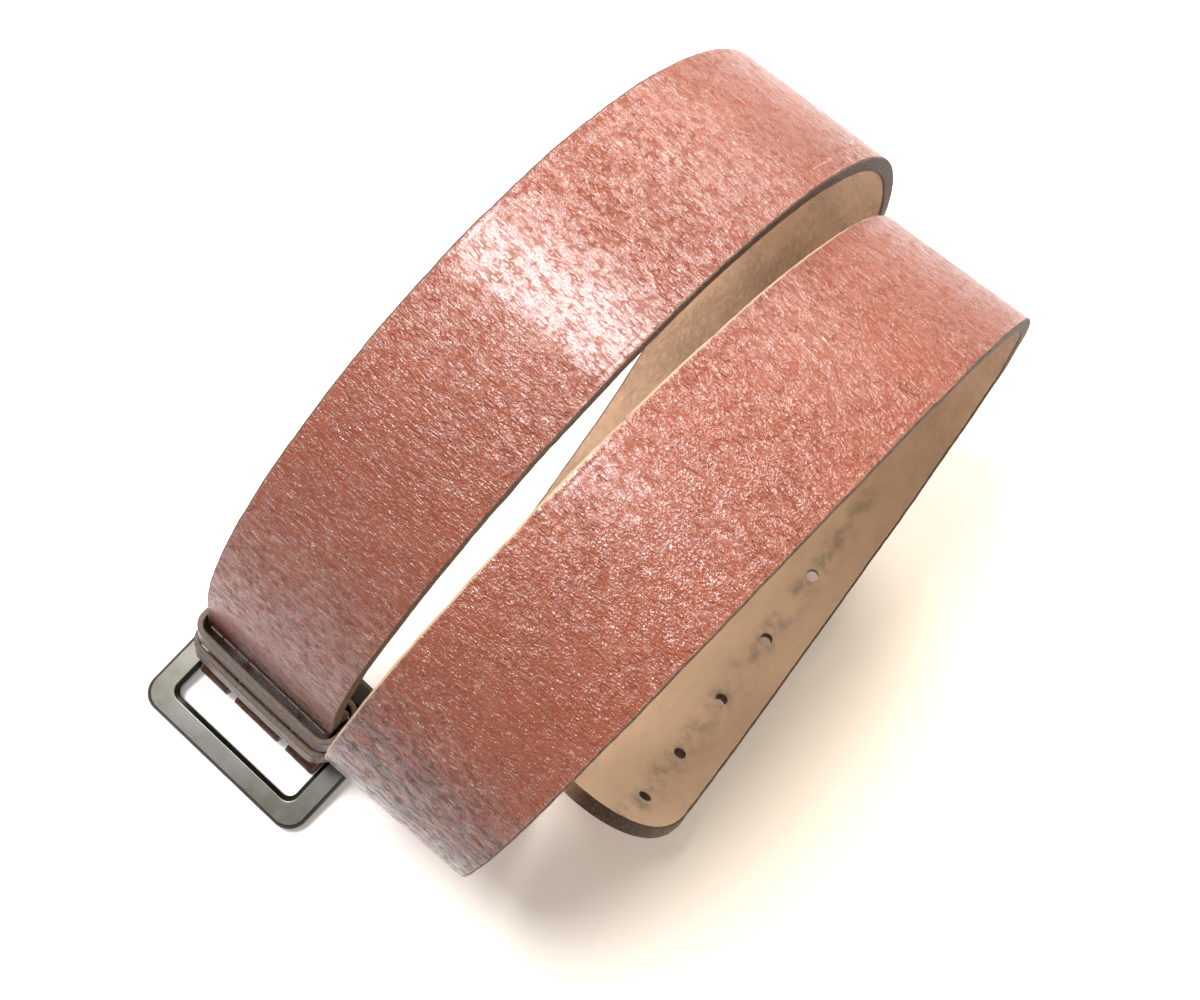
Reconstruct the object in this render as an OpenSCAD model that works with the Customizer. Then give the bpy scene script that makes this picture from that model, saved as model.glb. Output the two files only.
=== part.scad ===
// Leather belt with a centre-bar buckle, lying coiled in two loose turns.
// Z is up, the coil stands on z = 0 and its axis runs roughly along Y.
// Along the strap, s is the distance in mm from the buckle bar to the tip.

/* [Strap] */
// Width of the strap
strap_w = 44; // [40:1:44]
// Thickness of the strap
strap_t = 4; // [3.2:0.2:4]
// Length from the buckle bar to the tip
strap_len = 1131; // [1128:1:1138]
// Length of the rounded tip
tip_len = 28; // [20:1:36]
// Thickness of the folded-back end, which is skived
flap_t = 3; // [2:0.25:3]
// How far the folded-back end reaches up the strap
flap_len = 44; // [38:1:46]
// Width of the bevel along the strap's edges
edge_bevel = 0.5; // [0.3:0.1:0.8]

/* [Holes] */
// Hole diameter
hole_d = 3.8; // [3:0.2:4.6]
// Distance between holes along the strap (one inch)
hole_pitch = 25.4; // [20:0.2:26]
// Number of holes in each row
hole_count = 5; // [5:1:7]
// Distance between the two rows
row_gap = 20; // [16:1:22]
// Distance of the first pair of holes from the tip
first_hole = 22.5; // [20:0.5:30]

/* [Buckle] */
// Outer size of the frame along its bar
frame_w = 60; // [60:1:62]
// Outer size of the frame across its bar
frame_l = 46; // [45:1:46]
// Width of the frame's rails
rail_w = 7.5; // [7:0.25:7.5]
// Thickness of the frame
frame_t = 4; // [3.6:0.2:4]
// Radius of the frame's outer corners
corner_r = 6; // [4:0.5:8]
// Radius of the window's corners
window_r = 2.8; // [1:0.2:4]
// Diameter of the centre bar
bar_d = 3; // [2.6:0.2:3]
// Tilt of the frame as it lies, far rail down
frame_tilt = 9; // [7:1:11]

/* [Prongs] */
// Reach of a prong from the bar's axis to its tip
prong_len = 20.5; // [19:0.5:21]
// Width of a prong
prong_w = 2.6; // [2:0.2:2.6]
// Thickness of a prong
prong_t = 2.2; // [1.8:0.2:2.2]
// Running clearance between a prong's eye and the bar
eye_clear = 0.06; // [0.04:0.01:0.1]
// Angle of the folded-up prongs above the level
prong_rest = 104; // [104:1:108]
// Width of the two slots in the fold
slot_w = 3.4; // [3.2:0.2:4]

/* [Keepers] */
// Width of each keeper along the strap
keeper_w = 10; // [8:0.5:10]
// Thickness of the keeper leather
keeper_t = 1.6; // [1.2:0.2:1.6]
// Lower edge of the fixed keeper, above the bar
keeper_low_s = 21.5; // [21.5:0.5:22]
// Lower edge of the sliding keeper, above the bar
keeper_up_s = 33; // [33:0.5:34]
// Slack in front of the strap inside the sliding keeper
keeper_gap = 2.4; // [2:0.2:3]

/* [Hidden] */

grain = [0.60, 0.30, 0.22];
dark = [0.36, 0.24, 0.17];
metal = [0.46, 0.46, 0.43];
nickel = [0.72, 0.71, 0.68];

// Place of the coil over the origin
shift = [-92.59, 39.11, -0.02];
// Height of the strap's middle where it leaves the bar
start_z = 9;
// Slope of the strap where it leaves the bar
start_slope = 56;
// The fold straightens over its first 15 mm to the slope of the doubled end
stand_slope = 85;
fold_rise = 15;
// The doubled end is stiff and straight up to here, and the coil eases in over the next 10 mm
doubled_end = 53;
ease = 10;
// The coil is oval: its bend swings about a mean, in degrees per 60 mm, with a tight end every half turn
mean_bend = 38.5;
bend_swing = 12;
tight_end = 305;
half_turn = 310;
// The tip curls up more, by so many degrees per 60 mm, easing in over 40 mm
tip_curl = 15;
curl_from = 1040;
curl_ease = 40;
// The coil leans over: the strap twists steadily between two points, in degrees per 120 mm
lean = 7.1;
lean_from = 60;
lean_to = 1000;
lean_ease = 120;
// Spacing of the stations along the strap
step = 5;
// Inner radius of the fold round the bar
fold_r = 2.5;
fold_mid = fold_r + strap_t/2;

// Bend and twist in degrees per mm at distance s
function clamp01(x) = min(max(x, 0), 1);
function bend(s) = s < fold_rise ? -(stand_slope - start_slope)/fold_rise
    : clamp01((s - doubled_end)/ease)*(mean_bend + bend_swing*cos(360*(s - tight_end)/half_turn))/60
        + tip_curl*clamp01((s - curl_from)/curl_ease)/60;
function twist(s) = lean/120*clamp01((s - lean_from)/lean_ease)*clamp01((lean_to - s)/lean_ease);

// Rotation by the vector w, whose length is the angle in degrees
function turn(w) = let (a = norm(w))
    a < 1e-9 ? [[1, 0, 0], [0, 1, 0], [0, 0, 1]]
    : let (x = w[0]/a, y = w[1]/a, z = w[2]/a, c = cos(a), d = sin(a), e = 1 - c)
      [[c + x*x*e, x*y*e - z*d, x*z*e + y*d], [y*x*e + z*d, c + y*y*e, y*z*e - x*d], [z*x*e - y*d, z*y*e + x*d, c + z*z*e]];
// One step of length ds from the place [pos, axes] at s; the axes' columns are along, across and outwards
function advance(pl, s, ds) = let (m = s + ds/2, w = [-twist(m), bend(m), 0]*ds)
    [pl[0] + (pl[1]*turn(w/2))*[1, 0, 0]*ds, pl[1]*turn(w)];
start_place = [[0, 0, start_z], [[cos(start_slope), 0, -sin(start_slope)], [0, 1, 0], [sin(start_slope), 0, cos(start_slope)]]];
tip_s = strap_len - tip_len;
n_main = floor(tip_s/step);
n_path = ceil(strap_len/step);
path = [for (i = 0, pl = start_place; i <= n_path; pl = advance(pl, i*step, step), i = i + 1) pl];
function place(s) = let (i = min(floor(s/step), n_path - 1)) advance(path[i], i*step, s - i*step);

// The bar's axis, on the inner side of the fold
bar = start_place[0] - start_place[1]*[0, 0, 1]*fold_mid;

// A place in the XZ plane: position and heading in degrees
function flat_place(p, a) = [p, [[cos(a), 0, -sin(a)], [0, 1, 0], [sin(a), 0, cos(a)]]];
// The folded-back end lies behind the doubled part, flesh side to flesh side
lie_gap = 0.2;
back = place(fold_rise);
flap_join = back[0] - back[1]*[0, 0, 1]*(strap_t + lie_gap);
reach = flap_join - bar;
reach_d = norm(reach);
tangent_a = atan2(reach[2], reach[0]) - acos(fold_mid/reach_d);
tangent_p = bar + fold_mid*[cos(tangent_a), 0, sin(tangent_a)];
flap_top = flap_join + (flap_len - fold_rise)*[cos(stand_slope), 0, sin(stand_slope)];
function mix(a, b, t) = a*(1 - t) + b*t;
// Sections of the folded-back end and the fold: [place, thickness, half width]
flap_sections = concat(
    [for (t = [0:0.25:0.75]) [flat_place(mix(flap_top, flap_join, t), stand_slope + 180), flap_t, strap_w/2]],
    [for (t = [0:0.25:0.75]) [flat_place(mix(flap_join, tangent_p, t), (stand_slope + tangent_a + 90)/2 + 180), mix(flap_t, strap_t, t), strap_w/2]],
    [for (i = [0:12]) let (a = tangent_a + (start_slope + 90 - 360 - tangent_a)*i/13)
        [flat_place(bar + fold_mid*[cos(a), 0, sin(a)], a - 90), strap_t, strap_w/2]]);
main_sections = [for (i = [0:n_main]) if (i < 4 || i%2 == 0) [path[i], strap_t, strap_w/2]];
tip_sections = [for (a = [10:8:82]) [place(tip_s + tip_len*sin(a)), strap_t, strap_w/2*cos(a)]];
sections = concat(flap_sections, main_sections, tip_sections);

// Outline of one section: across the strap, then outwards
function outline(h, t) = let (b = edge_bevel, lo = -strap_t/2, hi = lo + t)
    [[h - b, hi], [h, hi - b], [h, lo + b], [h - b, lo], [b - h, lo], [-h, lo + b], [-h, hi - b], [b - h, hi]];
function section_points(s) = [for (q = outline(s[2], s[1])) s[0][0] + s[0][1]*[0, q[0], q[1]]];

module strip(list) {
    n = len(list);
    pts = [for (s = list) each section_points(s)];
    sides = [for (i = [0:n - 2], j = [0:7]) each
        let (a = i*8 + j, b = i*8 + (j + 1)%8, c = (i + 1)*8 + (j + 1)%8, d = (i + 1)*8 + j) [[a, d, c], [a, c, b]]];
    polyhedron(points = pts, faces = concat([[for (j = [7:-1:0]) (n - 1)*8 + j]], sides, [[for (j = [0:7]) j]]), convexity = 10);
}

// Puts children at distance s along the strap: X along, Y across, Z outwards
module at_strap(s) {
    p = place(s);
    multmatrix([for (r = [0:2]) [p[1][r][0], p[1][r][1], p[1][r][2], p[0][r]]]) children();
}

module strap() {
    color(grain) translate(shift) difference() {
        strip(sections);
        for (k = [0:hole_count - 1], side = [-1, 1])
            at_strap(strap_len - first_hole - k*hole_pitch) translate([0, side*row_gap/2, -4])
                cylinder(d = hole_d, h = 8, $fn = 24);
        for (side = [-1, 1])
            translate(bar + [0, side*row_gap/2 + slot_w/2, 0]) rotate([90, 0, 0]) cylinder(r = 12.3, h = slot_w, $fn = 48);
    }
}

// Saddle stitches through both layers of the doubled end, in two rows across it
stitch_len = 3.6;
stitch_pitch = 4.6;
thread_d = 0.8;
stitch_rows = [18.5, 39.5];
module stitch() {
    front = strap_t/2 + 0.1;
    rear = -strap_t/2 - lie_gap - flap_t - 0.1;
    for (z = [front, rear]) translate([0, -stitch_len/2, z]) rotate([-90, 0, 0]) cylinder(d = thread_d, h = stitch_len, $fn = 16);
    for (y = [-1, 1]) translate([0, y*stitch_len/2, rear]) cylinder(d = thread_d, h = front - rear, $fn = 16);
    for (y = [-1, 1], z = [front, rear]) translate([0, y*stitch_len/2, z]) sphere(d = thread_d, $fn = 16);
}
module fold_stitching() {
    color(dark) translate(shift) for (s = stitch_rows, i = [-4:4]) at_strap(s) translate([0, i*stitch_pitch, 0]) stitch();
}

// A flat strip bent into a loop, its ends meeting behind the strap
module round_rect(x0, x1, y0, y1, r) {
    translate([x0 + r, y0]) square([x1 - x0 - 2*r, y1 - y0]);
    translate([x0, y0 + r]) square([x1 - x0, y1 - y0 - 2*r]);
    for (x = [x0 + r, x1 - r], y = [y0 + r, y1 - r]) translate([x, y]) circle(r = r, $fn = 32);
}
side_slack = 0.8;
keeper_in_r = 3;
// Rear face of the folded-back end, and the sliding keeper's slack behind it
rear_face = -strap_t/2 - lie_gap - flap_t;
rear_slack = 1.6;
module keeper(s, gap, rear_in) {
    h = strap_w/2 + side_slack;
    at_strap(s) multmatrix([[0, 0, 1, 0], [1, 0, 0, 0], [0, 1, 0, 0], [0, 0, 0, 1]]) difference() {
        linear_extrude(keeper_w) difference() {
            round_rect(-h - keeper_t, h + keeper_t, rear_in - keeper_t, strap_t/2 + gap + keeper_t, keeper_in_r + keeper_t);
            round_rect(-h, h, rear_in, strap_t/2 + gap, keeper_in_r);
        }
        translate([-0.1, rear_in - keeper_t - 1, -1]) cube([0.2, keeper_t + 1.5, keeper_w + 2]);
    }
}
// A wire staple that closes a keeper's two ends, its points at depth z
wire_d = 0.8;
staple_w = 7;
module staple(s, back_z, point_z, clinch) {
    at_strap(s + keeper_w/2) {
        translate([0, -staple_w/2, back_z]) rotate([-90, 0, 0]) cylinder(d = wire_d, h = staple_w, $fn = 16);
        for (y = [-1, 1]) {
            translate([0, y*staple_w/2, back_z]) cylinder(d = wire_d, h = point_z - back_z, $fn = 16);
            translate([0, y*staple_w/2, back_z]) sphere(d = wire_d, $fn = 16);
            translate([0, y*staple_w/2, point_z]) sphere(d = wire_d, $fn = 16);
            if (clinch) translate([0, y*staple_w/2, point_z]) rotate([y*90, 0, 0]) cylinder(d = wire_d, h = 2.4, $fn = 16);
        }
    }
}
slide_in = rear_face - rear_slack;
module keeper_fixed() { color(dark) translate(shift) keeper(keeper_low_s, keeper_gap + keeper_t, rear_face); }
module keeper_fixed_staple() { color(metal) translate(shift) staple(keeper_low_s, rear_face - keeper_t - 0.3, rear_face + 1.5, false); }
module keeper_sliding() { color(dark) translate(shift) keeper(keeper_up_s, keeper_gap, slide_in); }
module keeper_sliding_staple() { color(metal) translate(shift) staple(keeper_up_s, slide_in - keeper_t - 0.3, slide_in + 0.3, true); }

// The bar is pressed into a blind hole in each side rail
bar_len = frame_w - 4;
module buckle_place() { translate(shift + bar) rotate([0, -frame_tilt, 0]) children(); }
module buckle_frame() {
    x = frame_l/2;
    y = frame_w/2;
    color(metal) buckle_place() difference() {
        translate([0, 0, -frame_t/2]) linear_extrude(frame_t) difference() {
            round_rect(-x, x, -y, y, corner_r);
            round_rect(rail_w - x, x - rail_w, rail_w - y, y - rail_w, window_r);
        }
        translate([0, -bar_len/2, 0]) rotate([-90, 0, 0]) cylinder(d = bar_d, h = bar_len, $fn = 32);
    }
}
module centre_bar() {
    color(nickel) buckle_place() translate([0, -bar_len/2, 0]) rotate([-90, 0, 0]) cylinder(d = bar_d, h = bar_len, $fn = 32);
}

// A prong: an eye round the bar and a shank that narrows to a rounded tip
module prong(y) {
    tip_r = prong_t*0.36;
    color(nickel) translate(shift + bar + [0, y, 0]) rotate([0, -prong_rest, 0]) rotate([90, 0, 0]) difference() {
        translate([0, 0, -prong_w/2]) linear_extrude(prong_w) {
            circle(r = bar_d/2 + 2.3, $fn = 48);
            polygon([[2, -prong_t/2], [prong_len - 6, -prong_t/2], [prong_len - tip_r, -tip_r], [prong_len - tip_r, tip_r], [prong_len - 6, prong_t/2], [2, prong_t/2]]);
            translate([prong_len - tip_r, 0]) circle(r = tip_r, $fn = 24);
        }
        translate([0, 0, -prong_w]) cylinder(r = bar_d/2 + eye_clear, h = 2*prong_w, $fn = 48);
    }
}
module prong_left() { prong(row_gap/2); }
module prong_right() { prong(-row_gap/2); }

strap();
fold_stitching();
keeper_fixed();
keeper_fixed_staple();
keeper_sliding();
keeper_sliding_staple();
buckle_frame();
centre_bar();
prong_left();
prong_right();
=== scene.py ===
import bpy, bmesh, math
import numpy as np
from mathutils import Matrix, Vector


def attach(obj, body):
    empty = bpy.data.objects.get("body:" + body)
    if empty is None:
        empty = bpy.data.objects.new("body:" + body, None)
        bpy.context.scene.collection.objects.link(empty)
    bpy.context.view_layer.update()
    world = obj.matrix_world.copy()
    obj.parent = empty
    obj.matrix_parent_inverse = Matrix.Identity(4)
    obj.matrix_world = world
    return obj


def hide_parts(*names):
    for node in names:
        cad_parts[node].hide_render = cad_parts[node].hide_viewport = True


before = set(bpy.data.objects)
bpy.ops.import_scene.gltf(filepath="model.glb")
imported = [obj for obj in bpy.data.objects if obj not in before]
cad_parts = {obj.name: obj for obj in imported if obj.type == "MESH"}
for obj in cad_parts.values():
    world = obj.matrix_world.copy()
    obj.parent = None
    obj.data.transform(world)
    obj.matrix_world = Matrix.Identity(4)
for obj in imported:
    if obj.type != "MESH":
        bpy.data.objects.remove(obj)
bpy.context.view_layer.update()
MM = 0.001

# ---------------------------------------------------------------- path, the same rule as part.scad (mm)
W, T, L, TIP, FLAP_T, FLAP = 44.0, 4.0, 1131.0, 28.0, 3.0, 44.0
SHIFT = np.array([-92.59, 39.11, -0.02])
SLOPE, STAND, RISE, DOUBLED, EASE = 56.0, 85.0, 15.0, 53.0, 10.0
MEAN, SWING, TIGHT, HALF = 38.5, 12.0, 305.0, 310.0
CURL, CURL0, CURL_EASE = 15.0, 1040.0, 40.0
LEAN, LEAN0, LEAN1, LEAN_EASE = 7.1, 60.0, 1000.0, 120.0
STEP, FOLD_MID, GAP = 5.0, 4.5, 0.2
HOLE_D, PITCH, NHOLE, ROW, FIRST, SLOT = 3.8, 25.4, 5, 20.0, 22.5, 3.4


def c01(x): return min(max(x, 0.0), 1.0)
def bend(s):
    if s < RISE: return -(STAND - SLOPE)/RISE
    return c01((s - DOUBLED)/EASE)*(MEAN + SWING*math.cos(math.radians(360*(s - TIGHT)/HALF)))/60 + CURL*c01((s - CURL0)/CURL_EASE)/60
def twist(s): return LEAN/120*c01((s - LEAN0)/LEAN_EASE)*c01((LEAN1 - s)/LEAN_EASE)
def rot(w):
    a = math.radians(np.linalg.norm(w))
    if a < 1e-12: return np.eye(3)
    return np.array(Matrix.Rotation(a, 3, Vector(w)))
def advance(p, R, s, ds):
    m = s + ds/2
    w = np.array([-twist(m), bend(m), 0.0])*ds
    return p + (R @ rot(w/2))[:, 0]*ds, R @ rot(w)
def flat_axes(a):
    a = math.radians(a)
    return np.array([[math.cos(a), 0, -math.sin(a)], [0, 1, 0], [math.sin(a), 0, math.cos(a)]])


P = [(np.array([0, 0, 9.0]), flat_axes(SLOPE))]
for i in range(int(math.ceil(L/STEP))):
    P.append(advance(P[-1][0], P[-1][1], i*STEP, STEP))
def place(s):
    i = min(int(s//STEP), len(P) - 2)
    return advance(P[i][0], P[i][1], i*STEP, s - i*STEP)


BAR = P[0][0] - P[0][1][:, 2]*FOLD_MID
bk, bR = place(RISE)
JOIN = bk - bR[:, 2]*(T + GAP)
reach = JOIN - BAR
TA = math.degrees(math.atan2(reach[2], reach[0])) - math.degrees(math.acos(FOLD_MID/np.linalg.norm(reach)))
def polar(a, r): return BAR + r*np.array([math.cos(math.radians(a)), 0, math.sin(math.radians(a))])
TP = polar(TA, FOLD_MID)
UP = np.array([math.cos(math.radians(STAND)), 0, math.sin(math.radians(STAND))])
TOP = JOIN + (FLAP - RISE)*UP
SWEEP = TA - (SLOPE + 90 - 360)
FOLD_LEN = math.radians(SWEEP)*FOLD_MID
LEG = float(np.linalg.norm(JOIN - TP))

# stations: (q, position, axes, thickness, half width); q is mm from the bar along the leather
DQ = 0.85
st = []
for t in np.linspace(0, 1, int((FLAP - RISE)/DQ), endpoint=False):
    st.append((-FOLD_LEN - LEG - (FLAP - RISE)*(1 - t), TOP*(1 - t) + JOIN*t, flat_axes(STAND + 180), FLAP_T, W/2))
for t in np.linspace(0, 1, int(LEG/DQ), endpoint=False):
    st.append((-FOLD_LEN - LEG*(1 - t), JOIN*(1 - t) + TP*t, flat_axes(STAND + (TA + 90 - STAND)*min(1, t*1.5) + 180), FLAP_T + (T - FLAP_T)*t, W/2))
for t in np.linspace(0, 1, 30, endpoint=False):
    a = TA - SWEEP*t
    st.append((-FOLD_LEN*(1 - t), polar(a, FOLD_MID), flat_axes(a - 90), T, W/2))
for s in np.linspace(0, L - TIP, int((L - TIP)/DQ), endpoint=False):
    p, R = place(s); st.append((s, p, R, T, W/2))
for a in np.linspace(0, 87.5, 44):
    a = math.radians(a); s = L - TIP + TIP*math.sin(a)
    p, R = place(s); st.append((s, p, R, T, W/2*math.cos(a)))
Q = np.array([x[0] for x in st]); PP = np.array([x[1] for x in st]); RR = np.array([x[2] for x in st])
TT = np.array([x[3] for x in st]); HW = np.array([x[4] for x in st])


def smooth_noise(x, scale, seed):
    r = np.random.default_rng(seed).uniform(-1, 1, 4096)
    y = x/scale + 1000; i = np.floor(y).astype(int); f = y - i; f = f*f*(3 - 2*f)
    return r[i % 4096]*(1 - f) + r[(i + 1) % 4096]*f


# ---------------------------------------------------------------- materials
def new_mat(name):
    m = bpy.data.materials.new(name); m.use_nodes = True
    return m, m.node_tree.nodes, m.node_tree.links, m.node_tree.nodes["Principled BSDF"]
def N(nodes, kind, **kw):
    n = nodes.new(kind)
    for k, v in kw.items():
        if k in n.inputs: n.inputs[k].default_value = v
        else: setattr(n, k, v)
    return n
def ramp(nodes, stops):
    r = nodes.new("ShaderNodeValToRGB"); e = r.color_ramp.elements
    while len(e) > 1: e.remove(e[-1])
    for i, (p, c) in enumerate(stops):
        x = e[0] if i == 0 else e.new(p)
        x.position = p; x.color = (c[0], c[1], c[2], 1) if isinstance(c, tuple) else (c, c, c, 1)
    return r
def stretch(nodes, links, src, scale):
    m = nodes.new("ShaderNodeVectorMath"); m.operation = "MULTIPLY"; m.inputs[1].default_value = scale
    links.new(src, m.inputs[0]); return m.outputs[0]
def noise(nodes, links, vec, scale, detail=4, rough=0.55, dist=0.0):
    n = N(nodes, "ShaderNodeTexNoise", Scale=scale, Detail=detail, Roughness=rough, Distortion=dist)
    links.new(vec, n.inputs["Vector"]); return n.outputs["Fac"]
def mixc(nodes, links, fac, a, b, blend="MIX"):
    m = nodes.new("ShaderNodeMix"); m.data_type = "RGBA"; m.blend_type = blend
    for sock, v in ((m.inputs["Factor"], fac), (m.inputs[6], a), (m.inputs[7], b)):
        if isinstance(v, (int, float)): sock.default_value = v
        elif isinstance(v, tuple): sock.default_value = (*v, 1)
        else: links.new(v, sock)
    return m.outputs[2]
def mth(nodes, links, op, a, b=0.0):
    m = nodes.new("ShaderNodeMath"); m.operation = op
    for i, v in enumerate((a, b)):
        if isinstance(v, (int, float)): m.inputs[i].default_value = v
        else: links.new(v, m.inputs[i])
    return m.outputs[0]
def bump(nodes, links, h, dist, strength, prev=None):
    b = N(nodes, "ShaderNodeBump", Strength=strength, Distance=dist)
    links.new(h, b.inputs["Height"])
    if prev is not None: links.new(prev, b.inputs["Normal"])
    return b.outputs[0]


def leather_grain(name, base, dark, light, crease=1.0, rough=0.25, wear_and_shade=1.0):
    m, n, l, b = new_mat(name)
    a = n.new("ShaderNodeAttribute"); a.attribute_name = "sv"; vec = a.outputs["Vector"]
    sep = n.new("ShaderNodeSeparateXYZ"); l.new(vec, sep.inputs[0])
    big = noise(n, l, stretch(n, l, vec, (0.6, 1, 1)), 22, 3, 0.5)
    mott = noise(n, l, stretch(n, l, vec, (1, 0.6, 1)), 260, 5, 0.6)
    col = mixc(n, l, mth(n, l, "MULTIPLY", ramp_fac(n, l, big, 0.35, 0.70), 0.40), base, dark)
    col = mixc(n, l, mth(n, l, "MULTIPLY", ramp_fac(n, l, mott, 0.40, 0.72), 0.30), col, light)
    # a warp makes the creases wander, then they run across the strap: long in v, short in s
    wn = N(n, "ShaderNodeTexNoise", Scale=120.0, Detail=2.0); l.new(vec, wn.inputs["Vector"])
    off = n.new("ShaderNodeVectorMath"); off.operation = "SCALE"; off.inputs["Scale"].default_value = 0.0014; l.new(wn.outputs["Color"], off.inputs[0])
    wv = n.new("ShaderNodeVectorMath"); wv.operation = "ADD"; l.new(vec, wv.inputs[0]); l.new(off.outputs[0], wv.inputs[1]); wv = wv.outputs[0]
    crv = N(n, "ShaderNodeTexVoronoi", Scale=1250.0, Randomness=1.0); crv.feature = "DISTANCE_TO_EDGE"
    l.new(stretch(n, l, wv, (1.0, 0.34, 0.0)), crv.inputs["Vector"])
    crack = mth(n, l, "SUBTRACT", 1.0, ramp_fac(n, l, crv.outputs["Distance"], 0.02, 0.22))
    cr = noise(n, l, stretch(n, l, wv, (1.0, 0.24, 1.0)), 1150, 3, 0.60, 0.4)
    # the network is broken up, and short dashes run between its pieces
    gaps = ramp_fac(n, l, noise(n, l, stretch(n, l, vec, (1.0, 0.6, 1.0)), 520, 3, 0.6), 0.44, 0.60)
    crack = mth(n, l, "MAXIMUM", mth(n, l, "MULTIPLY", crack, gaps), mth(n, l, "MULTIPLY", ramp_fac(n, l, cr, 0.53, 0.60), 0.75))
    patch = ramp_fac(n, l, noise(n, l, vec, 40, 3, 0.6), 0.38, 0.62)
    # where the strap was bent hard, the creases are deeper
    hot = n.new("ShaderNodeMapRange"); hot.interpolation_type = "SMOOTHSTEP"; l.new(mth(n, l, "ABSOLUTE", mth(n, l, "SUBTRACT", sep.outputs["X"], 0.625)), hot.inputs["Value"])
    hot.inputs["From Min"].default_value = 0.015; hot.inputs["From Max"].default_value = 0.055; hot.inputs["To Min"].default_value = 1.0; hot.inputs["To Max"].default_value = 0.0
    near = n.new("ShaderNodeMapRange"); near.interpolation_type = "SMOOTHSTEP"; l.new(mth(n, l, "ABSOLUTE", mth(n, l, "SUBTRACT", sep.outputs["X"], 0.085)), near.inputs["Value"])
    near.inputs["From Min"].default_value = 0.005; near.inputs["From Max"].default_value = 0.045; near.inputs["To Min"].default_value = 0.40; near.inputs["To Max"].default_value = 0.0
    hot = mth(n, l, "ADD", hot.outputs["Result"], near.outputs["Result"])
    col = mixc(n, l, mth(n, l, "MULTIPLY", crack, mth(n, l, "ADD", mth(n, l, "MULTIPLY", hot, 0.55), mth(n, l, "MULTIPLY", patch, 0.24))), col, dark)
    # painted shade: near-black streaks along the creases of the hard bends, where shade falls in them
    streak = noise(n, l, stretch(n, l, wv, (1.0, 0.12, 1.0)), 620, 4, 0.6, 0.2)
    col = mixc(n, l, mth(n, l, "MULTIPLY", mth(n, l, "MULTIPLY", ramp_fac(n, l, streak, 0.46, 0.56), hot), 0.74*wear_and_shade), col, (0.040, 0.016, 0.010))
    # pale worn threads along the crests of some creases
    th = noise(n, l, stretch(n, l, wv, (1.0, 0.20, 1.0)), 1350, 3, 0.65, 0.2)
    thr = mth(n, l, "MULTIPLY", ramp_fac(n, l, th, 0.600, 0.665), mth(n, l, "ADD", mth(n, l, "MULTIPLY", patch, 0.60), 0.10))
    col = mixc(n, l, mth(n, l, "MULTIPLY", thr, 0.75*wear_and_shade), col, (0.66, 0.40, 0.29))
    fl = noise(n, l, stretch(n, l, vec, (1.0, 0.60, 1.0)), 1900, 2, 0.7)
    fleck = mth(n, l, "MULTIPLY", ramp_fac(n, l, fl, 0.66, 0.71), 0.75*wear_and_shade)
    col = mixc(n, l, fleck, col, (0.70, 0.44, 0.32))
    sc = noise(n, l, stretch(n, l, vec, (0.06, 1.0, 1.0)), 420, 2, 0.5, 1.2)
    col = mixc(n, l, mth(n, l, "MULTIPLY", ramp_fac(n, l, sc, 0.745, 0.765), 0.35*wear_and_shade), col, (0.66, 0.42, 0.34))
    # the finish is worn off along the very edge
    ev = mth(n, l, "ABSOLUTE", sep.outputs["Y"])
    ew = mth(n, l, "MULTIPLY", ramp_fac(n, l, ev, 0.0208, 0.0219), ramp_fac(n, l, noise(n, l, vec, 330, 4, 0.7), 0.42, 0.60))
    col = mixc(n, l, mth(n, l, "MULTIPLY", ew, 0.6*wear_and_shade), col, (0.50, 0.30, 0.20))
    # painted shade: the doubled end near the keepers is painted near-black, where the keepers shade it
    keeper_shade = mth(n, l, "MULTIPLY", mth(n, l, "SUBTRACT", 1.0, ramp_fac(n, l, sep.outputs["X"], 0.040, 0.068)), 0.88*wear_and_shade)
    col = mixc(n, l, keeper_shade, col, (0.050, 0.014, 0.007))
    l.new(col, b.inputs["Base Color"])
    rg = mth(n, l, "ADD", mth(n, l, "MULTIPLY", mott, 0.18), rough - 0.06)
    l.new(mth(n, l, "ADD", rg, mth(n, l, "MULTIPLY", crack, 0.15)), b.inputs["Roughness"])
    # the cracks and the painted keeper shade take the gloss away; the hard bends are polished
    gloss = mth(n, l, "MULTIPLY", mth(n, l, "SUBTRACT", 1.0, keeper_shade), mth(n, l, "SUBTRACT", 1.0, mth(n, l, "MULTIPLY", crack, 0.25 + 0.55*wear_and_shade)))
    l.new(mth(n, l, "MULTIPLY", gloss, 0.48), b.inputs["Specular IOR Level"])
    l.new(mth(n, l, "MULTIPLY", gloss, mth(n, l, "ADD", mth(n, l, "MULTIPLY", hot, 0.5), 0.17)), b.inputs["Coat Weight"])
    b.inputs["Coat Roughness"].default_value = 0.16
    v = N(n, "ShaderNodeTexVoronoi", Scale=1900.0); v.feature = "F1"; l.new(stretch(n, l, vec, (1.0, 0.75, 0.0)), v.inputs["Vector"])
    n1 = bump(n, l, v.outputs["Distance"], 0.00022*crease, 0.6)
    n2 = bump(n, l, mth(n, l, "MULTIPLY", crack, mth(n, l, "ADD", mth(n, l, "MULTIPLY", patch, -0.6), -0.4)), 0.00022*crease, 0.9, n1)
    n3 = bump(n, l, mth(n, l, "MULTIPLY", cr, mth(n, l, "ADD", mth(n, l, "MULTIPLY", hot, 2.4), 0.80)), 0.0011*crease, 0.85, n2)
    n3 = bump(n, l, mth(n, l, "MULTIPLY", streak, hot), 0.0030*crease, 0.9, n3)
    l.new(n3, b.inputs["Normal"])
    return m
def ramp_fac(n, l, src, lo, hi):
    r = n.new("ShaderNodeMapRange"); r.interpolation_type = "SMOOTHSTEP"
    r.inputs["From Min"].default_value = lo; r.inputs["From Max"].default_value = hi
    l.new(src, r.inputs["Value"]); return r.outputs["Result"]


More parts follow.
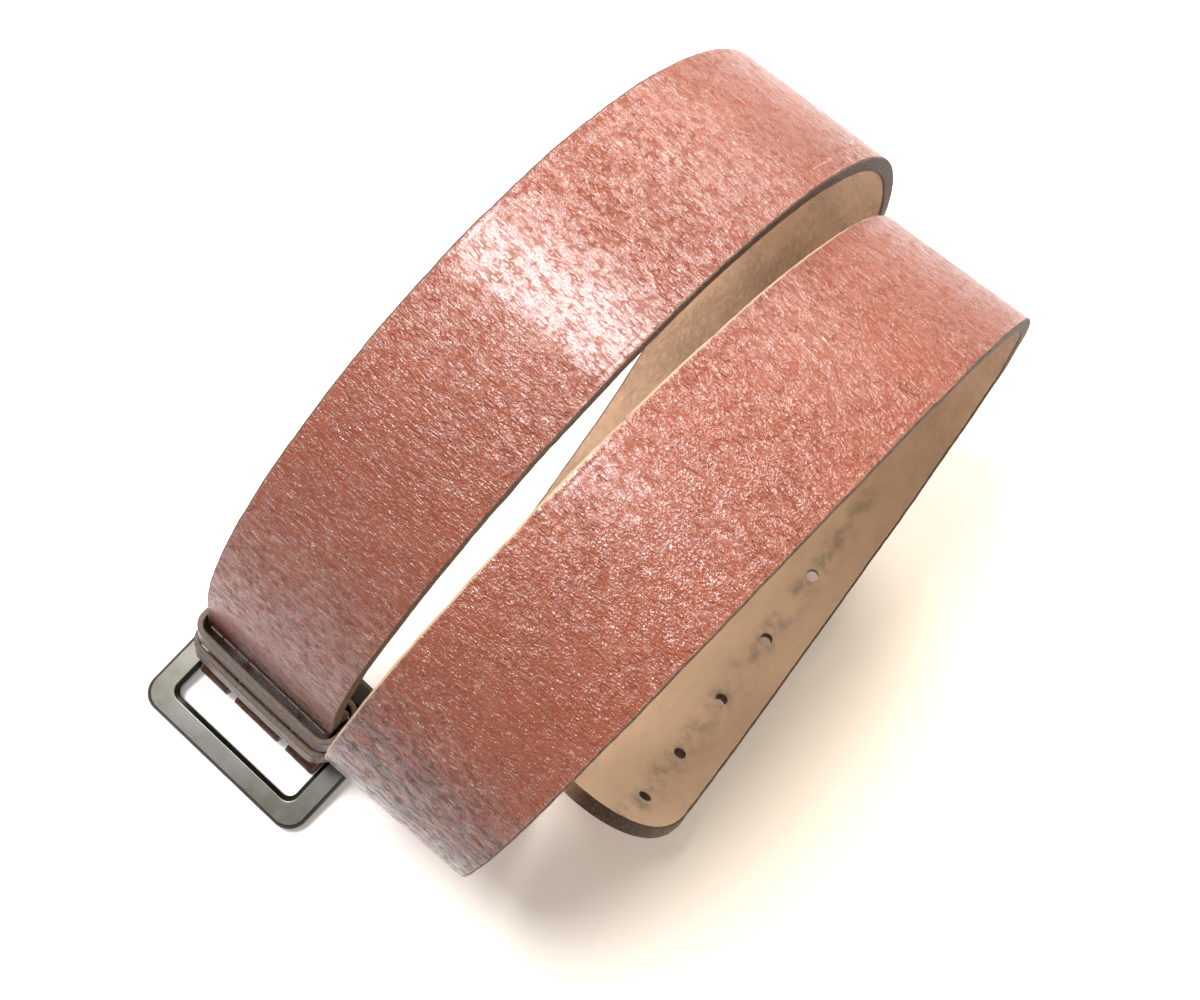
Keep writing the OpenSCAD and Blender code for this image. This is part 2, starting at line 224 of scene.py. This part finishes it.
def leather_flesh(name):
    m, n, l, b = new_mat(name)
    a = n.new("ShaderNodeAttribute"); a.attribute_name = "sv"; vec = a.outputs["Vector"]
    big = noise(n, l, stretch(n, l, vec, (0.5, 1, 1)), 60, 5, 0.65)
    fine = noise(n, l, stretch(n, l, vec, (0.45, 1, 1)), 900, 6, 0.7, 0.6)
    col = mixc(n, l, ramp_fac(n, l, big, 0.34, 0.66), (0.56, 0.345, 0.205), (0.34, 0.20, 0.115))
    col = mixc(n, l, mth(n, l, "MULTIPLY", ramp_fac(n, l, fine, 0.42, 0.68), 0.40), col, (0.72, 0.50, 0.33))
    # painted light: the tail's flesh side is painted paler, as if lit more strongly
    sep = n.new("ShaderNodeSeparateXYZ"); l.new(vec, sep.inputs[0])
    tail_painted_light = mth(n, l, "MULTIPLY", ramp_fac(n, l, sep.outputs["X"], 0.86, 1.03), mth(n, l, "ADD", mth(n, l, "MULTIPLY", big, -0.6), 1.05))
    col = mixc(n, l, tail_painted_light, col, (0.98, 0.71, 0.46))
    # grey smudges along the rows of holes, towards the tail end
    row = mth(n, l, "ABSOLUTE", mth(n, l, "SUBTRACT", mth(n, l, "ABSOLUTE", sep.outputs["Y"]), 0.010))
    near = mth(n, l, "SUBTRACT", 1.0, ramp_fac(n, l, row, 0.001, 0.006))
    along = ramp_fac(n, l, sep.outputs["X"], 0.95, 1.0)
    sm = ramp_fac(n, l, noise(n, l, stretch(n, l, vec, (1, 1, 1)), 130, 4, 0.6), 0.42, 0.66)
    col = mixc(n, l, mth(n, l, "MULTIPLY", mth(n, l, "MULTIPLY", near, along), mth(n, l, "MULTIPLY", sm, 0.55)), col, (0.14, 0.12, 0.10))
    l.new(col, b.inputs["Base Color"])
    l.new(mth(n, l, "ADD", mth(n, l, "MULTIPLY", fine, 0.15), 0.72), b.inputs["Roughness"])
    b.inputs["Sheen Weight"].default_value = 0.25
    b.inputs["Sheen Roughness"].default_value = 0.5
    n1 = bump(n, l, fine, 0.0006, 0.6)
    l.new(bump(n, l, big, 0.002, 0.25, n1), b.inputs["Normal"])
    return m


def leather_edge(name, c1, c2, lit_edge_colour=None):
    m, n, l, b = new_mat(name)
    t = n.new("ShaderNodeTexCoord"); vec = t.outputs["Object"]
    a = noise(n, l, vec, 1100, 6, 0.70)
    col = mixc(n, l, ramp_fac(n, l, a, 0.36, 0.70), c1, c2)
    if lit_edge_colour:                          # painted highlight: one edge of the strap, along part of its length, is painted paler where light falls on it
        at = n.new("ShaderNodeAttribute"); at.attribute_name = "sv"
        sp = n.new("ShaderNodeSeparateXYZ"); l.new(at.outputs["Vector"], sp.inputs[0])
        side = mth(n, l, "MULTIPLY", ramp_fac(n, l, sp.outputs["Y"], 0.0, 0.010), ramp_fac(n, l, noise(n, l, at.outputs["Vector"], 160, 4, 0.65), 0.30, 0.52))
        col = mixc(n, l, mth(n, l, "MULTIPLY", side, ramp_fac(n, l, sp.outputs["X"], 0.42, 0.60)), col, lit_edge_colour)
    l.new(col, b.inputs["Base Color"])
    l.new(mth(n, l, "ADD", mth(n, l, "MULTIPLY", a, 0.25), 0.48), b.inputs["Roughness"])
    l.new(bump(n, l, noise(n, l, vec, 1800, 5, 0.7), 0.0004, 0.6), b.inputs["Normal"])
    return m


def metal(name, c1, c2, rough, scale=500):
    m, n, l, b = new_mat(name)
    t = n.new("ShaderNodeTexCoord"); vec = t.outputs["Object"]
    a = noise(n, l, vec, scale, 5, 0.6); big = noise(n, l, vec, 60, 3, 0.6)
    l.new(mixc(n, l, ramp_fac(n, l, big, 0.35, 0.65), c1, c2), b.inputs["Base Color"])
    l.new(mth(n, l, "ADD", mth(n, l, "MULTIPLY", a, 0.16), rough - 0.06), b.inputs["Roughness"])
    b.inputs["Metallic"].default_value = 0.92
    l.new(bump(n, l, noise(n, l, vec, 2400, 3, 0.6), 0.00006, 0.35), b.inputs["Normal"])
    return m


GRAIN = leather_grain("strap_grain", (0.275, 0.071, 0.034), (0.170, 0.042, 0.019), (0.38, 0.122, 0.072))
FLESH = leather_flesh("strap_flesh")
EDGE = leather_edge("strap_edge", (0.070, 0.036, 0.021), (0.19, 0.108, 0.062), (0.52, 0.36, 0.21))
KEEP = leather_grain("keeper_face", (0.085, 0.045, 0.038), (0.050, 0.026, 0.022), (0.13, 0.072, 0.062), 0.3, 0.30, 0.0)
KEDGE = leather_edge("keeper_edge", (0.075, 0.048, 0.026), (0.15, 0.10, 0.060))
# painted shade: the keepers' inner faces are painted near-black, as they sit in shade
KEEPER_INSIDE_SHADE = leather_edge("keeper_inside_painted_shade", (0.020, 0.013, 0.009), (0.045, 0.030, 0.020))
GUN = metal("gunmetal", (0.052, 0.051, 0.045), (0.038, 0.035, 0.027), 0.30)
STEEL = metal("steel", (0.46, 0.455, 0.43), (0.38, 0.37, 0.35), 0.30)
THREAD = leather_edge("waxed_thread", (0.10, 0.055, 0.035), (0.17, 0.10, 0.065))


def make(name, verts, faces, mats, fmat, sv=None, smooth=True):
    me = bpy.data.meshes.new(name)
    me.from_pydata(np.asarray(verts).tolist(), [], faces)
    for m in mats: me.materials.append(m)
    me.polygons.foreach_set("material_index", np.asarray(fmat, np.int32))
    me.polygons.foreach_set("use_smooth", np.full(len(me.polygons), smooth))
    if sv is not None:
        at = me.attributes.new("sv", "FLOAT_VECTOR", "POINT"); at.data.foreach_set("vector", np.asarray(sv, np.float32).ravel())
    me.validate(); me.update()
    bm = bmesh.new(); bm.from_mesh(me)
    bmesh.ops.recalc_face_normals(bm, faces=bm.faces)
    loose = [v for v in bm.verts if not v.link_faces]
    if loose: bmesh.ops.delete(bm, geom=loose, context="VERTS")
    bm.to_mesh(me); bm.free()
    o = bpy.data.objects.new(name, me); bpy.context.collection.objects.link(o)
    return o


# ---------------------------------------------------------------- strap
BEV = 0.55
brk = [-21.45, -20.6, -20.2, -19.8, -11.7, -8.3, 0, 8.3, 11.7, 19.8, 20.2, 20.6, 21.45]
cnt = [1, 1, 1, 10, 4, 10, 10, 4, 10, 1, 1, 1]
cols = [brk[0]]
for a, b_, c in zip(brk[:-1], brk[1:], cnt): cols += list(np.linspace(a, b_, c + 1)[1:])
cols = np.array(cols); NC = len(cols)
arc = [(BEV*math.sin(t), BEV*(1 - math.cos(t))) for t in np.radians([30, 60, 90])]
ns = len(st)
holes = [(L - FIRST - k*PITCH, sgn*ROW/2) for k in range(NHOLE) for sgn in (-1, 1)]
SL_HI = 10.6
SL_LO = -FOLD_LEN - 11.2

wob = {+1: 0.10*smooth_noise(Q, 9, 1) + 0.06*smooth_noise(Q, 2.5, 2), -1: 0.10*smooth_noise(Q, 11, 3) + 0.06*smooth_noise(Q, 2.2, 4)}
def groove(v): return -0.05*np.exp(-((np.abs(v) - 20.2)/0.28)**2)
QG = np.repeat(Q[:, None], NC, 1); VG = cols[None]*(HW/(W/2))[:, None]
edge_k = np.clip((np.abs(cols)/21.45)[None]**8, 0, 1)
VG = VG + edge_k*np.where(cols[None] > 0, wob[1][:, None], wob[-1][:, None])*(HW/(W/2))[:, None]
gone = np.zeros((ns - 1, NC - 1), bool)
qc = (Q[:-1] + Q[1:])/2; vc = (cols[:-1] + cols[1:])/2
for hs, hv in holes:
    d = np.hypot(qc[:, None] - hs, vc[None] - hv); gone |= d < HOLE_D/2
for sv_ in (-10, 10):
    gone |= ((qc > SL_LO) & (qc < SL_HI))[:, None] & (np.abs(vc - sv_) < SLOT/2)[None]
# vertices on the rim of each removed patch
g = np.zeros((ns + 1, NC + 1), bool); g[1:-1, 1:-1] = gone
touch = g[:-1, :-1].astype(int) + g[1:, :-1] + g[:-1, 1:] + g[1:, 1:]
rim = (touch > 0) & (touch < 4)
for hs, hv in holes:
    d = np.hypot(QG - hs, VG - hv); m = rim & (d < 4)
    k = (HOLE_D/2)/np.maximum(d, 1e-6)
    QG = np.where(m, hs + (QG - hs)*k, QG); VG = np.where(m, hv + (VG - hv)*k, VG)

# move points that shifted along the strap with the local direction
DX = QG - Q[:, None]
tv, bv, nv = RR[:, :, 0], RR[:, :, 1], RR[:, :, 2]
def lay(v, n, dq=None):
    out = PP[:, None, :] + bv[:, None]*v[..., None] + nv[:, None]*n[..., None]
    if dq is not None: out = out + tv[:, None]*dq[..., None]
    return out
main = (Q > 46)[:, None]*1.0
rough_g = (0.030*smooth_noise(QG.ravel(), 1.9, 11) + 0.0).reshape(QG.shape)
cr2 = smooth_noise((QG + 2.0*smooth_noise(VG.ravel(), 6.0, 12).reshape(VG.shape)).ravel(), 1.7, 13).reshape(QG.shape)*smooth_noise((VG + QG*0.37).ravel(), 5.5, 14).reshape(VG.shape)
tight = np.exp(-((QG - 625)/38.0)**2)
fade = np.clip((21 - np.abs(VG))/1.5, 0, 1)*main
ngrain = (TT - T/2)[:, None] + groove(cols[None])*main + fade*(rough_g + (0.045 + 0.16*tight)*cr2)
nflesh = np.full_like(QG, -T/2) + 0.03*smooth_noise((QG*1.3 + VG*2.1).ravel(), 2.3, 21).reshape(QG.shape)*main
G = lay(VG, ngrain, DX); F = lay(VG, nflesh, DX)
# side pieces: bevel arc, wall, bevel arc
hi = TT - T/2
def side(sgn):
    vb = (HW*(W/2 - BEV)/(W/2) + 0)*sgn
    e = VG[:, -1] if sgn > 0 else VG[:, 0]
    sc = (HW/(W/2))
    rows = []
    for a, b_ in arc: rows.append((e + sgn*a*sc, hi - b_))
    for t in (0.33, 0.66): rows.append((e + sgn*BEV*sc + sgn*0.05*smooth_noise(Q*(1 + t), 0.9, 31 + int(t*10) + sgn), (hi - BEV)*(1 - t) + (-T/2 + BEV)*t))
    for a, b_ in reversed(arc): rows.append((e + sgn*a*sc, np.full(ns, -T/2) + b_))
    return np.stack([lay(v[:, None], n[:, None])[:, 0] for v, n in rows], 1), rows
S1, r1 = side(+1); S2, r2 = side(-1); NS_ = S1.shape[1]
# ring order: grain 0..NC-1, side+ down, flesh NC-1..0, side- up
ring = np.concatenate([G, S1, F[:, ::-1], S2[:, ::-1]], 1)
RN = ring.shape[1]
svg = np.stack([QG*MM, VG*MM, np.ones_like(QG)*0.010], -1)
svf = np.stack([QG*MM, VG*MM, np.zeros_like(QG)], -1)
def svside(rows): return np.stack([np.stack([Q*MM, r[0]*MM, 0.005 + r[1]*MM], -1) for r in rows], 1)
SV = np.concatenate([svg, svside(r1), svf[:, ::-1], svside(r2)[:, ::-1]], 1)
idx = np.arange(ns*RN).reshape(ns, RN)
faces, fm = [], []
kind = np.zeros(RN, int); kind[NC - 1:NC + NS_] = 1; kind[NC + NS_:2*NC + NS_ - 1] = 2; kind[2*NC + NS_ - 1:] = 1
for j in range(RN):
    k = (j + 1) % RN
    for i in range(ns - 1):
        if j < NC - 1 and gone[i, j]: continue
        if NC + NS_ <= j < 2*NC + NS_ - 1 and gone[i, NC - 2 - (j - NC - NS_)]: continue
        faces.append((idx[i, j], idx[i, k], idx[i + 1, k], idx[i + 1, j])); fm.append(kind[j])
fl = lambda j: NC + NS_ + (NC - 1 - j)
for i in range(ns - 1):
    for j in np.nonzero(gone[i])[0]:
        for (a, b_, nb) in (((i, j), (i, j + 1), (i - 1, j)), ((i + 1, j), (i + 1, j + 1), (i + 1, j)), ((i, j), (i + 1, j), (i, j - 1)), ((i, j + 1), (i + 1, j + 1), (i, j + 1))):
            if not gone[nb]:
                faces.append((idx[a[0], a[1]], idx[b_[0], b_[1]], idx[b_[0], fl(b_[1])], idx[a[0], fl(a[1])])); fm.append(1)
faces.append(tuple(idx[0, ::-1])); fm.append(1)
faces.append(tuple(idx[-1])); fm.append(1)
faces = [tuple(int(x) for x in f) for f in faces]
V = (ring.reshape(-1, 3) + SHIFT)*MM
strap = make("belt_strap", V, faces, [GRAIN, EDGE, FLESH], fm, SV.reshape(-1, 3))
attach(strap, "strap_body"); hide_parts("strap")


# ---------------------------------------------------------------- keepers
def keeper(name, s, gap, rear, body, node, bulge):
    p, R = place(s)
    h, kt, w, r = W/2 + 0.8, 1.6, 10.0, 3.0
    top = T/2 + gap
    pts = []                      # (y, z, outward normal) round the inner outline, from the butt joint and back to it
    def line(a, b_, n, k):
        for t in np.linspace(0, 1, k, endpoint=False): pts.append((a[0]*(1 - t) + b_[0]*t, a[1]*(1 - t) + b_[1]*t, n))
    def corner(cx, cy, a0):
        for a in np.radians(np.linspace(a0, a0 + 90, 9, endpoint=False)): pts.append((cx + r*math.cos(a), cy + r*math.sin(a), (math.cos(a), math.sin(a))))
    line((0.1, rear), (h - r, rear), (0, -1), 14); corner(h - r, rear + r, -90)
    line((h, rear + r), (h, top - r), (1, 0), 6); corner(h - r, top - r, 0)
    line((h - r, top), (-h + r, top), (0, 1), 34); corner(-h + r, top - r, 90)
    line((-h, top - r), (-h, rear + r), (-1, 0), 6); corner(-h + r, rear + r, 180)
    line((-h + r, rear), (-0.1, rear), (0, -1), 14); pts.append((-0.1, rear, (0, -1)))
    e = 0.35
    prof = [(0, e), (0.12*1, e*0.4), (e, 0)] + [(x, 0) for x in np.linspace(1.2, w - 1.2, 8)] + [(w - e, 0), (w - 0.12, e*0.4), (w, e), (w, kt/2), (w, kt - e), (w - 0.12, kt - e*0.4), (w - e, kt)] + [(x, kt) for x in np.linspace(w - 1.2, 1.2, 8)] + [(e, kt), (0.12, kt - e*0.4), (0, kt - e), (0, kt/2)]
    NP_ = len(prof); vv, sv, ff, mm = [], [], [], []
    run = 0.0; last = None
    for i, (y, z, n) in enumerate(pts):
        if last is not None: run += math.hypot(y - last[0], z - last[1])
        last = (y, z)
        out = bulge*max(0.0, 1 - (y/(h))**2)*(1 if n[1] > 0.5 and z > 0 else 0)
        for (x, d) in prof:
            dd = d + out
            wv = 0.06*math.sin(i*0.55 + 1.3*s)*(1 if x < 0.5 or x > w - 0.5 else 0)
            loc = np.array([x + wv, y + n[0]*dd, z + n[1]*dd])
            vv.append((p + R @ loc + SHIFT)*MM); sv.append((x*MM + 0.7, run*MM, 0.01 + s*MM))
    for i in range(len(pts) - 1):
        for j in range(NP_):
            k = (j + 1) % NP_
            ff.append((i*NP_ + j, i*NP_ + k, (i + 1)*NP_ + k, (i + 1)*NP_ + j))
            a, b_ = prof[j], prof[k]
            mm.append(0 if (a[1] > kt - 0.01 and b_[1] > kt - 0.01) else (2 if a[1] < 0.01 and b_[1] < 0.01 else 1))
    ff.append(tuple(range(NP_ - 1, -1, -1))); mm.append(1)
    q = (len(pts) - 1)*NP_; ff.append(tuple(range(q, q + NP_))); mm.append(1)
    o = make(name, vv, ff, [KEEP, KEDGE, KEEPER_INSIDE_SHADE], mm, sv)
    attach(o, body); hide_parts(node); return o
REAR = -T/2 - GAP - FLAP_T
keeper("keeper_lower", 21.5, 4.0, REAR, "strap_body", "keeper_fixed", 0.5)
keeper("keeper_upper", 33.0, 2.4, REAR - 1.6, "slider", "keeper_sliding", 0.3)


# ---------------------------------------------------------------- buckle frame, swept rail with softened bevels
def buckle():
    fw, fl_, rw, ft, ro, rin, tilt = 60.0, 46.0, 7.5, 4.0, 6.0, 2.8, 9.0
    raw = [(0, 0.7 - ft/2), (0.4, -ft/2), (rw - 0.4, -ft/2), (rw, 0.6 - ft/2), (rw, ft/2 - 1.0), (rw - 0.8, ft/2), (1.2, ft/2), (0, ft/2 - 1.1)]
    prof = []
    n = len(raw)
    for i in range(n):                # round each corner of the section with a small arc
        a, b_, c = np.array(raw[i - 1]), np.array(raw[i]), np.array(raw[(i + 1) % n])
        u = (a - b_)/np.linalg.norm(a - b_); w = (c - b_)/np.linalg.norm(c - b_)
        k = min(0.25, 0.35*np.linalg.norm(a - b_), 0.35*np.linalg.norm(c - b_))
        p0, p2 = b_ + u*k, b_ + w*k
        for t in (0, 0.33, 0.66, 1): prof.append((1 - t)**2*p0 + 2*t*(1 - t)*b_ + t*t*p2)
    def loop(hx, hy, r):              # matching stations on a rounded rectangle
        out = []; x, y = hx - r, hy - r; cs = ((x, y), (-x, y), (-x, -y), (x, -y))
        for q, (cx, cy) in enumerate(cs):
            for a in np.radians(np.linspace(q*90, q*90 + 90, 17)): out.append((cx + r*math.cos(a), cy + r*math.sin(a)))
            nx, ny = cs[(q + 1) % 4]; a = math.radians(q*90 + 90)
            for t in np.linspace(0, 1, 14)[1:-1]: out.append((cx*(1 - t) + nx*t + r*math.cos(a), cy*(1 - t) + ny*t + r*math.sin(a)))
        return np.array(out)
    O = loop(fl_/2, fw/2, ro); I = loop(fl_/2 - rw, fw/2 - rw, rin)
    A = np.array(Matrix.Rotation(math.radians(-tilt), 3, "Y"))
    vv, ff = [], []; M = len(prof); K = len(O)
    for o_, i_ in zip(O, I):
        for u, t in prof:
            q = i_ + (o_ - i_)*(u/rw)
            vv.append((BAR + A @ np.array([q[0], q[1], t]) + SHIFT)*MM)
    for i in range(K):
        for j in range(M):
            ff.append((i*M + j, i*M + (j + 1) % M, ((i + 1) % K)*M + (j + 1) % M, ((i + 1) % K)*M + j))
    o = make("buckle", vv, ff, [GUN], [0]*len(ff))
    o.modifiers.new("flat faces", "WEIGHTED_NORMAL")
    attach(o, "buckle"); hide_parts("buckle_frame")
buckle()


# ---------------------------------------------------------------- prongs: rolled eye and a shank that tapers to a rounded tip
def prong(name, yy, body, node):
    A = np.array(Matrix.Rotation(math.radians(-104), 3, "Y")); w, t, ln = 2.6, 2.2, 20.5
    vv, ff = [], []
    def put(loc): vv.append((BAR + np.array([0, yy, 0]) + A @ np.array(loc) + SHIFT)*MM)
    prof = []                        # eye section: radius, y
    for a in np.radians(np.arange(0, 360, 20)):
        c, s = math.cos(a), math.sin(a); k = 1/(abs(c)**4 + abs(s)**4)**0.25
        prof.append((2.68 + 1.12*c*k, w/2*s*k))
    M = len(prof); K = 40
    for i in range(K):
        th = 2*math.pi*i/K
        for r, y in prof: put((r*math.cos(th), y, r*math.sin(th)))
    for i in range(K):
        for j in range(M): ff.append((i*M + j, i*M + (j + 1) % M, ((i + 1) % K)*M + (j + 1) % M, ((i + 1) % K)*M + j))
    base = len(vv); rs = list(np.linspace(2.5, 14.5, 13)) + list(np.linspace(15.2, 19.8, 9)) + [20.1, 20.35, 20.48]
    m2 = 20
    for r in rs:
        k = 1.0 if r < 14.5 else max(0.05, 1 - ((r - 14.5)/6.05)**2.2)**0.6
        for a in np.linspace(0, 2*math.pi, m2, endpoint=False):
            c, s = math.cos(a), math.sin(a); q = 1/(abs(c)**3.2 + abs(s)**3.2)**(1/3.2)
            put((r, w/2*c*q*max(k, 0.12), t/2*s*q*max(k, 0.12)))
    for i in range(len(rs) - 1):
        for j in range(m2): ff.append((base + i*m2 + j, base + i*m2 + (j + 1) % m2, base + (i + 1)*m2 + (j + 1) % m2, base + (i + 1)*m2 + j))
    ff.append(tuple(range(base + m2 - 1, base - 1, -1))); e = base + (len(rs) - 1)*m2; ff.append(tuple(range(e, e + m2)))
    o = make(name, vv, ff, [STEEL], [0]*len(ff))
    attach(o, body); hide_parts(node)
prong("prong_a", 10.0, "prong_left_body", "prong_left")
prong("prong_b", -10.0, "prong_right_body", "prong_right")

for nd, mt in (("centre_bar", STEEL), ("keeper_fixed_staple", STEEL), ("keeper_sliding_staple", STEEL), ("fold_stitching", THREAD)):
    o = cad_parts[nd]
    o.data.materials.clear(); o.data.materials.append(mt)

# ---------------------------------------------------------------- floor, light, camera
me = bpy.data.meshes.new("floor"); me.from_pydata([(-3, -3, 0), (3, -3, 0), (3, 3, 0), (-3, 3, 0)], [], [(0, 1, 2, 3)])
floor = bpy.data.objects.new("floor", me); bpy.context.collection.objects.link(floor)
fm_, n, l, b = new_mat("floor"); b.inputs["Roughness"].default_value = 0.55
# painted light: a warm cream patch to the lower right stands in for light bounced off the leather
ft_ = n.new("ShaderNodeTexCoord"); painted_glow_dist = n.new("ShaderNodeVectorMath"); painted_glow_dist.operation = "DISTANCE"; l.new(ft_.outputs["Object"], painted_glow_dist.inputs[0]); painted_glow_dist.inputs[1].default_value = (0.02, -0.14, 0)
painted_glow_mask = n.new("ShaderNodeMapRange"); painted_glow_mask.interpolation_type = "SMOOTHSTEP"; l.new(painted_glow_dist.outputs["Value"], painted_glow_mask.inputs["Value"])
painted_glow_mask.inputs["From Min"].default_value = 0.03; painted_glow_mask.inputs["From Max"].default_value = 0.26
l.new(mixc(n, l, painted_glow_mask.outputs["Result"], (0.93, 0.82, 0.66), (0.94, 0.94, 0.94)), b.inputs["Base Color"])
# painted light: the floor glows faintly, warmest in the same patch, lightening the shadows
l.new(mixc(n, l, painted_glow_mask.outputs["Result"], (1.0, 0.86, 0.68), (1.0, 0.99, 0.97)), b.inputs["Emission Color"]); b.inputs["Emission Strength"].default_value = 0.20
me.materials.append(fm_); floor.location.z = -0.0002

world = bpy.data.worlds.new("w"); bpy.context.scene.world = world; world.use_nodes = True
world.node_tree.nodes["Background"].inputs[0].default_value = (1.0, 0.985, 0.96, 1)
world.node_tree.nodes["Background"].inputs[1].default_value = 0.40

RC = Matrix(((0.657234, 0.687147, -0.309632), (-0.735671, 0.674174, -0.065407), (0.163802, 0.270776, 0.948604)))
def area(name, loc, target, size, power, col):
    d = bpy.data.lights.new(name, "AREA"); d.shape = "DISK"; d.size = size; d.energy = power; d.color = col
    o = bpy.data.objects.new(name, d); bpy.context.collection.objects.link(o); o.location = loc
    o.rotation_euler = (Vector(target) - Vector(loc)).to_track_quat("-Z", "Y").to_euler()
    return o
right, up = Vector((RC[0][0], RC[1][0], RC[2][0])), Vector((RC[0][1], RC[1][1], RC[2][1]))
ctr = Vector((0.0, 0.0, 0.08))
hl = Vector((-0.05, 0.03, 0.155))
area("key", tuple(hl + Vector((-0.10, 0.32, 0.95)).normalized()*0.85), hl, 0.26, 9.6, (1.0, 0.98, 1.0))
area("gloss", tuple(hl + Vector((-0.04, 0.33, 0.95)).normalized()*0.83), hl, 0.42, 12.5, (0.97, 0.97, 1.0)).visible_diffuse = False
area("side", tuple(ctr + Vector((0.55, 0.25, 0.45))), ctr, 0.45, 5.4, (1.0, 0.97, 0.94))
cam = bpy.data.cameras.new("cam"); cam.sensor_width = 36.0; cam.lens = 36.0*1483.0/1200.0; cam.clip_start = 0.01
co = bpy.data.objects.new("cam", cam); bpy.context.collection.objects.link(co)
m4 = RC.to_4x4(); m4.translation = Vector((-25.672 - 92.59, -57.434 + 39.11, 442.229 - 0.02))*MM
co.matrix_world = m4; bpy.context.scene.camera = co
bpy.context.scene.view_settings.view_transform = "Standard"
